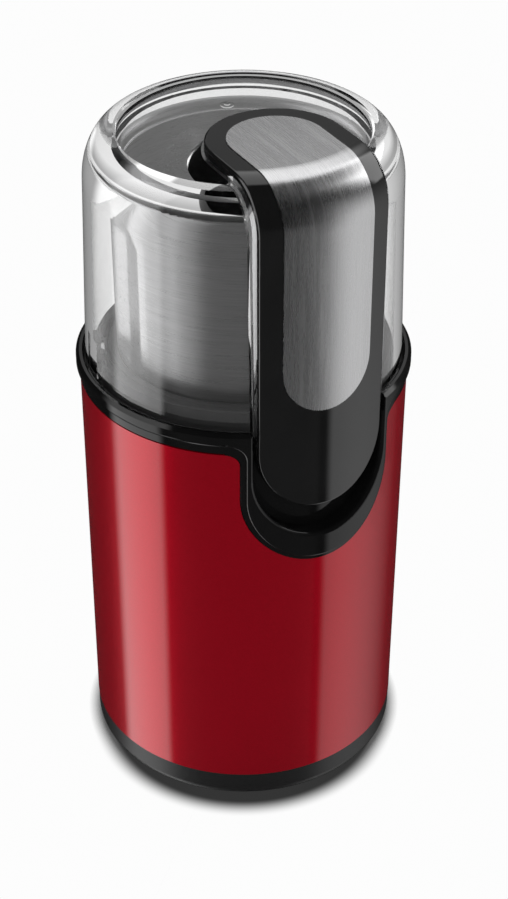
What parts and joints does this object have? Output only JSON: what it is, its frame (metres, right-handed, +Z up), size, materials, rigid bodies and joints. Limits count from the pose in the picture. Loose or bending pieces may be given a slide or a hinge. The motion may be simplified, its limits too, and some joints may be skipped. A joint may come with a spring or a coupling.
{
  "type": "electric spice grinder",
  "caption": "Electric spice grinder with a painted body, a clear press-down lid under a strap, a lift-out steel bowl and a spinning blade.",
  "frame": {"origin": "middle of the footprint, on the surface the feet stand on", "axes": "+Z up along the motor's axis; the lid's strap and the collar's pocket face -Y"},
  "size_m": [0.1008, 0.1008, 0.2165],
  "materials": {
    "red_paint": "metallic, gloss",
    "black_gloss": "gloss",
    "black_plastic": "satin",
    "grey_plastic": "satin",
    "white_plastic": "satin",
    "clear_plastic": "clear",
    "rubber": "matt",
    "inlay_metal": "brushed lengthwise",
    "bowl_steel": "brushed round",
    "blade_steel": "ground",
    "screw_steel": "zinc plated",
    "bracket_steel": "pressed and zinc plated",
    "lamination_steel": "stacked sheet",
    "copper": "enamelled copper wire",
    "brass": "drawn",
    "bronze": "sintered bronze",
    "carbon": "pressed carbon"
  },
  "bodies": {
    "housing": {"housing_shell": "red_paint", "feet": "rubber", "base_cover": "black_plastic", "cord_bush": "rubber", "inner_frame": "black_plastic", "base_screws": "screw_steel", "collar": "black_gloss", "bowl_seat": "grey_plastic", "seat_screws": "screw_steel", "shaft_seal": "rubber", "return_spring": "screw_steel", "switch_bracket": "black_plastic", "switch_screws": "screw_steel", "switch_body": "black_plastic", "switch_terminals": "brass", "stator_core": "lamination_steel", "field_coils": "copper", "upper_bracket": "bracket_steel", "lower_bracket": "bracket_steel", "upper_bearing": "bronze", "lower_bearing": "bronze", "brush_carrier": "white_plastic", "brush_holders": "brass", "carbon_brushes": "carbon", "brush_springs": "screw_steel", "motor_bolts": "screw_steel", "motor_nuts": "screw_steel", "rubber_mounts": "rubber", "mount_screws": "screw_steel"},
    "plunger": {"press_plunger": "black_plastic"},
    "lever": {"switch_lever": "screw_steel"},
    "button": {"switch_button": "white_plastic"},
    "rotor": {"motor_shaft": "screw_steel", "armature_core": "lamination_steel", "armature_winding": "copper", "commutator": "copper", "cooling_fan": "grey_plastic", "drive_coupling": "grey_plastic"},
    "bowl": {"grinding_bowl": "bowl_steel", "bowl_base": "black_plastic", "bowl_bush": "bronze", "bowl_seal": "rubber", "bowl_rivets": "screw_steel"},
    "blade_unit": {"blade": "blade_steel", "blade_shaft": "blade_steel", "blade_nut": "screw_steel", "driven_coupling": "grey_plastic"},
    "lid": {"lid_cover": "clear_plastic", "lid_strap": "black_gloss", "strap_inlay": "inlay_metal"}
  },
  "joints": [
    {"name": "press", "type": "slide", "parent": "housing", "child": "plunger", "axis": [0, 0, 1], "range_m": [-0.0035, 0], "stiffness_N_per_m": 800, "springref_m": 0.006, "deforming": ["return_spring"]},
    {"name": "lid_lift", "type": "slide", "parent": "plunger", "child": "lid", "axis": [0, 0, 1], "range_m": [0, 0.2]},
    {"name": "bowl_lift", "type": "slide", "parent": "housing", "child": "bowl", "axis": [0, 0, 1], "range_m": [0, 0.1]},
    {"name": "motor_spin", "type": "hinge", "parent": "housing", "child": "rotor", "pos_m": [0, 0, 0.06], "axis": [0, 0, 1], "continuous": true},
    {"name": "blade_spin", "type": "hinge", "parent": "bowl", "child": "blade_unit", "pos_m": [0, 0, 0.135], "axis": [0, 0, 1], "continuous": true},
    {"name": "lever_swing", "type": "hinge", "parent": "housing", "child": "lever", "pos_m": [0.01, -0.0386, 0.0939], "axis": [0, 1, 0], "range_deg": [-11.2, 0]},
    {"name": "button_press", "type": "slide", "parent": "housing", "child": "button", "axis": [0, 0, 1], "range_m": [-0.00137, 0]}
  ],
  "couplings": [
    {"joint": "bowl_lift", "follows": "lid_lift", "ratio": 0.5},
    {"joint": "blade_spin", "follows": "motor_spin", "ratio": 1},
    {"joint": "lever_swing", "follows": "press", "rad_per_m": 55.56},
    {"joint": "button_press", "follows": "press", "ratio": 0.389}
  ]
}
